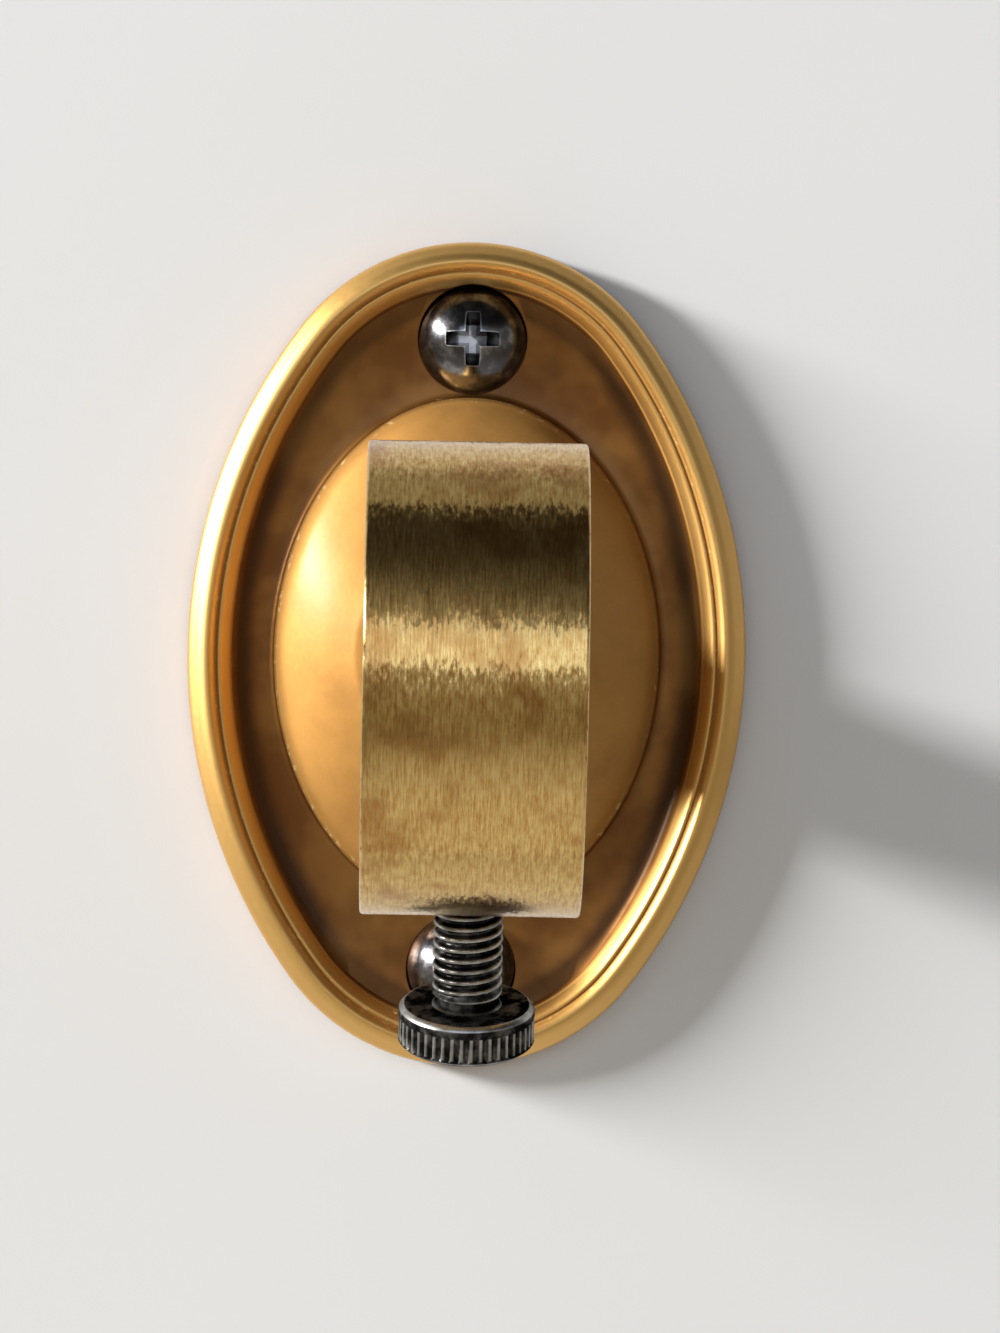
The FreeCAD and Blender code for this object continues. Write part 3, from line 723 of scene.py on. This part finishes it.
class Nodes:
    """A small helper to write a material's node tree from left to right."""

    def __init__(self, name):
        self.material = bpy.data.materials.new(name)
        self.material.use_nodes = True
        self.tree = self.material.node_tree
        self.shader = self.tree.nodes["Principled BSDF"]
        self.place = self.add("ShaderNodeTexCoord").outputs["Object"]

    def add(self, kind, **settings):
        node = self.tree.nodes.new(kind)
        for key, value in settings.items():
            setattr(node, key, value)
        return node

    def wire(self, value, socket):
        """Links an output to a socket, or sets the socket to a plain value."""
        if isinstance(value, bpy.types.NodeSocket):
            self.tree.links.new(value, socket)
        else:
            socket.default_value = value

    def math(self, operation, a, b=0.0, clamp=False):
        node = self.add("ShaderNodeMath", operation=operation, use_clamp=clamp)
        self.wire(a, node.inputs[0])
        self.wire(b, node.inputs[1])
        return node.outputs[0]

    def plus(self, base, value, share):
        """A base value plus a share of another value."""
        return self.math("ADD", base, self.math("MULTIPLY", value, share))

    def varied(self, base, noise, share):
        """A base value that swings up and down with a noise."""
        return self.plus(base, self.math("SUBTRACT", noise, 0.5), share)

    def range(self, value, low, high, to_low=0.0, to_high=1.0):
        """A smooth step from one value to another while value goes from low to high."""
        node = self.add("ShaderNodeMapRange", interpolation_type="SMOOTHSTEP")
        self.wire(value, node.inputs["Value"])
        limits = (low, high, to_low, to_high)
        for key, limit in zip(("From Min", "From Max", "To Min", "To Max"), limits):
            self.wire(limit, node.inputs[key])
        return node.outputs["Result"]

    def mix(self, share, a, b):
        node = self.add("ShaderNodeMix", data_type="RGBA")
        colours = [socket for socket in node.inputs if socket.type == "RGBA"]
        self.wire(share, node.inputs["Factor"])
        for value, socket in zip((a, b), colours):
            self.wire(value, socket)
        return next(socket for socket in node.outputs if socket.type == "RGBA")

    def stretched(self, scale):
        node = self.add("ShaderNodeMapping")
        self.wire(self.place, node.inputs["Vector"])
        node.inputs["Scale"].default_value = scale
        return node.outputs["Vector"]

    def noise(self, source, scale, detail, roughness):
        node = self.add("ShaderNodeTexNoise")
        self.wire(source, node.inputs["Vector"])
        node.inputs["Scale"].default_value = scale
        node.inputs["Detail"].default_value = detail
        node.inputs["Roughness"].default_value = roughness
        return node.outputs["Fac"]

    def attribute(self, name):
        return self.add("ShaderNodeAttribute", attribute_name=name).outputs["Fac"]

    def crevice(self, distance, inside=False):
        """1 on open ground, less in a crevice, or less near an outer edge when it looks inside."""
        node = self.add("ShaderNodeAmbientOcclusion", samples=6, inside=inside, only_local=True)
        node.inputs["Distance"].default_value = distance * MM
        return node.outputs["AO"]

    def split(self):
        """The place's own X, Y and Z."""
        node = self.add("ShaderNodeSeparateXYZ")
        self.wire(self.place, node.inputs[0])
        return node.outputs

    def from_axis(self, centre):
        """X, and how far Y and Z are from an axis along X through a centre."""
        x, y, z = self.split()
        y = self.math("SUBTRACT", y, centre.y * MM)
        return x, y, self.math("SUBTRACT", z, centre.z * MM)

    def joined(self, x, y, z):
        """One vector from three values."""
        node = self.add("ShaderNodeCombineXYZ")
        for value, socket in zip((x, y, z), node.inputs):
            self.wire(value, socket)
        return node.outputs[0]

    def vector(self, operation, *values):
        node = self.add("ShaderNodeVectorMath", operation=operation)
        for value, socket in zip(values, node.inputs):
            self.wire(value, socket)
        return node.outputs[0]

    def around(self, centre, along):
        """Places on a turned piece as (X, turn about X, distance from the axis), with the turn made
        smaller so that a noise draws lines along it."""
        x, y, z = self.from_axis(centre)
        angle = self.math("ARCTAN2", z, self.math("MULTIPLY", y, -1.0))
        squares = self.math("ADD", self.math("MULTIPLY", y, y), self.math("MULTIPLY", z, z))
        return self.joined(x, self.math("MULTIPLY", angle, along), self.math("SQRT", squares))

    def leaned(self, centre, radius, lean, normal):
        """A normal leaned along the brushing round a turned piece, by a varying share."""
        _, y, z = self.from_axis(centre)
        share = self.math("DIVIDE", lean, radius * MM)
        back = self.math("MULTIPLY", self.math("MULTIPLY", y, share), -1.0)
        sideways = self.joined(0.0, self.math("MULTIPLY", z, share), back)
        return self.vector("NORMALIZE", self.vector("ADD", normal, sideways))

    def bump(self, height, strength, distance, normal=None):
        node = self.add("ShaderNodeBump")
        node.inputs["Strength"].default_value = strength
        node.inputs["Distance"].default_value = distance * MM
        self.wire(height, node.inputs["Height"])
        if normal:
            self.wire(normal, node.inputs["Normal"])
        return node.outputs["Normal"]

    def finish(self, colour, roughness, normal, metallic=1.0, **settings):
        """Sets the shader, and gives back the material."""
        self.wire(colour, self.shader.inputs["Base Color"])
        self.wire(roughness, self.shader.inputs["Roughness"])
        self.wire(normal, self.shader.inputs["Normal"])
        self.shader.inputs["Metallic"].default_value = metallic
        for key, value in settings.items():
            self.shader.inputs[key.replace("_", " ")].default_value = value
        return self.material


def rgb(red, green, blue):
    """A colour as picked from a screen, from 0 to 255, made linear."""
    linear = []
    for part in (red, green, blue):
        linear.append(((part / 255 + 0.055) / 1.055) ** 2.4 if part > 10 else part / 255 / 12.92)
    return linear + [1.0]


GOLD = rgb(224, 178, 104)
PALE_GOLD = rgb(244, 218, 164)
TAN = rgb(200, 154, 86)
BROWN = rgb(148, 102, 50)
DARK_BROWN = rgb(74, 48, 24)


def cast_brass():
    """Antiqued cast brass: rubbed gold on the rim, tan on the boss, brown in the dish and the creases,
    with pale specks where the crease attribute is 1. The creases' dark brown is painted shade from
    ambient occlusion, the corner inside the rim is patina with painted shade, and faint tan patches are
    a painted reflection."""
    n = Nodes("cast_brass")
    wear_and_painted_light = n.attribute("wear_and_painted_light")
    cloud = n.noise(n.place, 160, 4, 0.6)
    grain = n.noise(n.place, 2600, 3, 0.6)
    blotch = n.noise(n.place, 130, 3, 0.6)
    reflection_patch = n.noise(n.place, 75, 2, 0.5)
    height = n.varied(wear_and_painted_light, cloud, 0.3)
    floor = n.mix(n.range(blotch, 0.4, 0.62), BROWN, rgb(122, 78, 36))
    colour = n.mix(n.range(height, -0.5, -0.05), DARK_BROWN, floor)
    # Painted reflection: faint lighter tan patches scattered over the darker ground.
    colour = n.mix(n.range(reflection_patch, 0.52, 0.7, 0.0, 0.18), colour, TAN)
    colour = n.mix(n.range(height, 0.05, 0.4), colour, TAN)
    colour = n.mix(n.range(height, 0.5, 0.9), colour, GOLD)
    # Painted shade: ambient occlusion darkens crevices to dark brown.
    colour = n.mix(n.range(n.crevice(1.6), 0.2, 0.7), DARK_BROWN, colour)
    speck = n.range(n.noise(n.place, 1500, 2, 0.6), 0.6, 0.65)
    colour = n.mix(n.math("MULTIPLY", speck, n.attribute("crease")), colour, PALE_GOLD)
    matt = n.range(wear_and_painted_light, 0.1, 0.3, 0.5, 0.74)
    rubbed = n.range(wear_and_painted_light, 0.45, 0.8, 0.0, 0.31)
    rough = n.varied(n.math("SUBTRACT", matt, rubbed), grain, 0.1)
    normal = n.bump(cloud, 0.15, 0.2, n.bump(grain, 0.12, 0.02))
    return n.finish(colour, rough, normal, Coat_Weight=0.25, Coat_Roughness=0.3)


def brushed_brass():
    """Satin brass, brushed round the ring in lines, ticks and short marks that also lean the normal, and
    pale at its edges, rubbed and with a painted highlight along the bevel, with dark nicks."""
    n = Nodes("brushed_brass")
    lines = n.noise(n.around(RING_CENTRE, 0.001), 7200, 3, 0.75)
    ticks = n.noise(n.around(RING_CENTRE, 0.0055), 3300, 3, 0.65)
    short = n.noise(n.around(RING_CENTRE, 0.009), 3900, 2, 0.6)
    waves = n.noise(n.around(RING_CENTRE, 0.014), 480, 2, 0.5)
    cloud = n.noise(n.place, 210, 3, 0.55)
    tone = n.plus(n.math("MULTIPLY", lines, 0.6), ticks, 0.4)
    colour = n.mix(n.range(tone, 0.28, 0.72), rgb(176, 126, 60), rgb(236, 206, 136))
    colour = n.mix(n.range(cloud, 0.48, 0.68, 0.0, 0.6), colour, rgb(158, 104, 50))
    colour = n.mix(n.range(short, 0.66, 0.76, 0.0, 0.45), colour, rgb(120, 78, 38))
    # Pale edges: rubbing with a painted highlight along the bevel, with dark nicks on top.
    edge = n.attribute("wear_and_painted_light")
    colour = n.mix(n.math("MULTIPLY", edge, n.range(short, 0.62, 0.5)), colour, PALE_GOLD)
    colour = n.mix(n.math("MULTIPLY", edge, n.range(short, 0.58, 0.66)), colour, DARK_BROWN)
    rough = n.plus(0.18, tone, 0.13)
    lean = n.varied(n.varied(n.varied(0.0, ticks, 0.24), short, 0.1), waves, 0.09)
    normal = n.leaned(RING_CENTRE, RING_RADIUS, lean, n.bump(lines, 0.12, 0.012))
    tangent = n.add("ShaderNodeTangent", direction_type="RADIAL", axis="X")
    n.wire(tangent.outputs[0], n.shader.inputs["Tangent"])
    return n.finish(colour, rough, normal, Anisotropic=0.85, Anisotropic_Rotation=0.25)


def turned_brass():
    """Satin brass rod with faint turning marks about its own axis, and painted shade from ambient
    occlusion in its crevices.
    """
    n = Nodes("turned_brass")
    marks = n.noise(n.stretched((1, 60, 1)), 120, 3, 0.6)
    cloud = n.noise(n.place, 180, 3, 0.55)
    colour = n.mix(n.range(cloud, 0.3, 0.75), rgb(204, 158, 90), rgb(216, 172, 102))
    # Painted shade: ambient occlusion darkens crevices to dark brown.
    colour = n.mix(n.range(n.crevice(1.5), 0.3, 0.8), DARK_BROWN, colour)
    return n.finish(colour, n.plus(0.28, marks, 0.14), n.bump(marks, 0.25, 0.02))


def dark_steel(name, dark, bright, roughness, wear_from, edges, polish, edge_tint):
    """Darkened steel, rubbed bright on its crests and, by the share edges, on its outer edges. Where the
    points' wear is set high in a cross recess and on a thumb screw's chamfers and neck ring, the bright
    colour is also a painted highlight. polish is what the rubbing adds to the roughness."""
    n = Nodes(name)
    cloud = n.noise(n.place, 700, 3, 0.6)
    grain = n.noise(n.place, 5200, 2, 0.6)
    rubbed = n.range(n.attribute("wear_and_painted_light"), wear_from, 0.95)
    rubbed = n.math("ADD", rubbed, n.range(n.crevice(0.22, inside=True), 0.75, 0.4, 0.0, edges))
    rubbed = n.math("MULTIPLY", rubbed, n.range(cloud, 0.3, 0.62, 0.45, 1.0), clamp=True)
    scuffed = n.mix(n.range(cloud, 0.4, 0.75, 0.0, 0.35), dark, bright)
    colour = n.mix(rubbed, scuffed, bright)
    rough = n.plus(n.varied(roughness, grain, 0.16), rubbed, polish)
    tint = (edge_tint, edge_tint, edge_tint, 1.0)
    return n.finish(colour, rough, n.bump(grain, 0.12, 0.01), Specular_Tint=tint)


def zinc_steel():
    """Bright zinc plate, faintly mottled, with painted shade from ambient occlusion in its crevices."""
    n = Nodes("zinc_steel")
    cloud = n.noise(n.place, 900, 3, 0.6)
    colour = n.mix(n.range(cloud, 0.35, 0.7), rgb(150, 152, 156), rgb(196, 198, 200))
    # Painted shade: ambient occlusion darkens crevices to dark grey.
    colour = n.mix(n.range(n.crevice(0.6), 0.3, 0.8), rgb(70, 70, 72), colour)
    return n.finish(colour, n.range(cloud, 0.3, 0.7, 0.22, 0.38), n.bump(cloud, 0.1, 0.01))


def wall_paint():
    """Matt white paint, with painted shade greying it above the picture, that is only there from the
    front.
    """
    n = Nodes("wall_paint")
    roller = n.noise(n.place, 900, 4, 0.6)
    cloud = n.noise(n.place, 30, 2, 0.5)
    colour = n.mix(cloud, rgb(231, 231, 229), rgb(235, 234, 233))
    # Painted shade: the wall greys from 70 mm to 200 mm up.
    colour = n.mix(n.range(n.split()["Z"], 0.07, 0.2), colour, rgb(158, 158, 155))
    n.finish(colour, 0.9, n.bump(roller, 0.08, 0.05), metallic=0.0, Specular_IOR_Level=0.1)
    see_through = n.add("ShaderNodeBsdfTransparent")
    choose = n.add("ShaderNodeMixShader")
    n.wire(n.add("ShaderNodeNewGeometry").outputs["Backfacing"], choose.inputs["Fac"])
    n.wire(n.shader.outputs["BSDF"], choose.inputs[1])
    n.wire(see_through.outputs["BSDF"], choose.inputs[2])
    n.wire(choose.outputs["Shader"], n.tree.nodes["Material Output"].inputs["Surface"])
    return n.material


# The dressed bracket


def dress(piece, node, material, body="bracket"):
    """Gives a piece its material, and tells which CAD node it replaces and which body it rides on."""
    piece.data.materials.clear()
    piece.data.materials.append(material)
    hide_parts(node)
    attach(piece, body)


gunmetal = dark_steel(
    "gunmetal_steel",
    dark=rgb(88, 86, 88),
    bright=rgb(232, 232, 234),
    roughness=0.2,
    wear_from=0.75,
    edges=1.0,
    polish=0.28,
    edge_tint=1.0,
)
blackened = dark_steel(
    "blackened_steel",
    dark=rgb(30, 29, 28),
    bright=rgb(184, 181, 176),
    roughness=0.42,
    wear_from=0.62,
    edges=0.0,
    polish=-0.14,
    edge_tint=0.3,
)
zinc = zinc_steel()
dress(wall_plate(), "wall_plate", cast_brass())
dress(arm(), "arm", turned_brass())
dress(clamp_ring(), "clamp_ring", brushed_brass())
dress(thumb_screw(), "thumb_screw", blackened, "thumb")
for screw in ("wall_screw_top", "wall_screw_bottom"):
    dress(wall_screw(screw), screw, gunmetal)
dress(arm_screw(), "arm_screw", zinc)
dress(ring_screw(), "ring_screw", zinc)
dress(arm_washer(), "arm_washer", zinc)


# The wall, the light and the camera

WALL_REACH = 1500
WALL_LEVEL = -0.02
WALL_OPENING_INSET = 0.6
MIDDLE = (0, -40, 0)
STATION = Vector((-3.7, -548, 11.7))
TARGET = Vector((2.5, -20, -0.5))
ROLL = math.radians(1.1)
FRAME_HEIGHT = 104
FILM_HEIGHT = 36

# The room's light as (height from 0 below to 1 overhead, level, warmth)
ROOM_LEVELS = [
    (0.0, 0.74, 0.06),
    (0.08, 0.68, 0.06),
    (0.16, 0.55, 0.07),
    (0.31, 0.28, 0.22),
    (0.44, 0.31, 0.18),
    (0.54, 0.4, 0.06),
    (0.62, 0.36, 0.0),
    (0.7, 0.12, 0.1),
    (0.77, 0.03, 0.12),
    (1.0, 0.03, 0.12),
]


def backdrop():
    """The wall, open behind the plate so that the plate's back is lit when it is seen from behind."""
    edge = oval_ring(both_ways(WALL_REACH), WALL_LEVEL)
    points, faces = skin([edge, rim_ring(WALL_OPENING_INSET, WALL_LEVEL)])
    wall = new_piece("wall", points, faces)
    wall.data.materials.append(wall_paint())


def lamp(name, place, target, size, power, colour=(1.0, 1.0, 1.0)):
    """A soft rectangular lamp at a place in millimetres, aimed at a target."""
    light = bpy.data.lights.new(name, "AREA")
    light.shape = "RECTANGLE"
    light.size, light.size_y = (side * MM for side in size)
    light.energy = power
    light.color = colour
    lit = bpy.data.objects.new(name, light)
    aim = Vector(target) - Vector(place)
    turn = aim.to_track_quat("-Z", "Z").to_matrix().to_4x4()
    lit.matrix_world = Matrix.Translation(Vector(place) * MM) @ turn
    bpy.context.scene.collection.objects.link(lit)


def world_light():
    """A soft grey room: bright below, dimmer and warmer round the sides, and dark overhead."""
    world = bpy.data.worlds.new("room")
    bpy.context.scene.world = world
    world.use_nodes = True
    tree = world.node_tree
    place = tree.nodes.new("ShaderNodeTexCoord")
    split = tree.nodes.new("ShaderNodeSeparateXYZ")
    ramp = tree.nodes.new("ShaderNodeValToRGB")
    reach = tree.nodes.new("ShaderNodeMapRange")
    reach.inputs["From Min"].default_value = -1
    tree.links.new(place.outputs["Generated"], split.inputs[0])
    tree.links.new(split.outputs["Z"], reach.inputs["Value"])
    tree.links.new(reach.outputs["Result"], ramp.inputs["Fac"])
    elements = ramp.color_ramp.elements
    while len(elements) < len(ROOM_LEVELS):
        elements.new(0.5)
    for element, (position, level, warmth) in zip(elements, ROOM_LEVELS):
        element.position = position
        element.color = (level, (1 - 0.5 * warmth) * level, (1 - 1.5 * warmth) * level, 1.0)
    tree.links.new(ramp.outputs["Color"], tree.nodes["Background"].inputs["Color"])
    tree.nodes["Background"].inputs["Strength"].default_value = 1.0


def camera():
    """The photograph's standing point and direction, on the bracket alone, and rolled a little so that
    the plate leans as it does in the photograph."""
    seen = bpy.data.cameras.new("camera")
    seen.sensor_fit = "VERTICAL"
    seen.sensor_height = FILM_HEIGHT
    seen.lens = FILM_HEIGHT * (TARGET - STATION).length / FRAME_HEIGHT
    seen.clip_start, seen.clip_end = 0.01, 10
    eye = bpy.data.objects.new("camera", seen)
    aim = (TARGET - STATION).to_track_quat("-Z", "Y").to_matrix().to_4x4()
    eye.matrix_world = Matrix.Translation(STATION * MM) @ aim @ Matrix.Rotation(ROLL, 4, "Z")
    bpy.context.scene.collection.objects.link(eye)
    bpy.context.scene.camera = eye


backdrop()
world_light()
lamp("key", (-2760, -767, 920), (0, 0, 0), (340, 1300), 204)
lamp("front", (0, -900, 250), MIDDLE, (900, 330), 1.03, (0.84, 1.0, 1.28))
bpy.context.scene.view_settings.view_transform = "Standard"
camera()
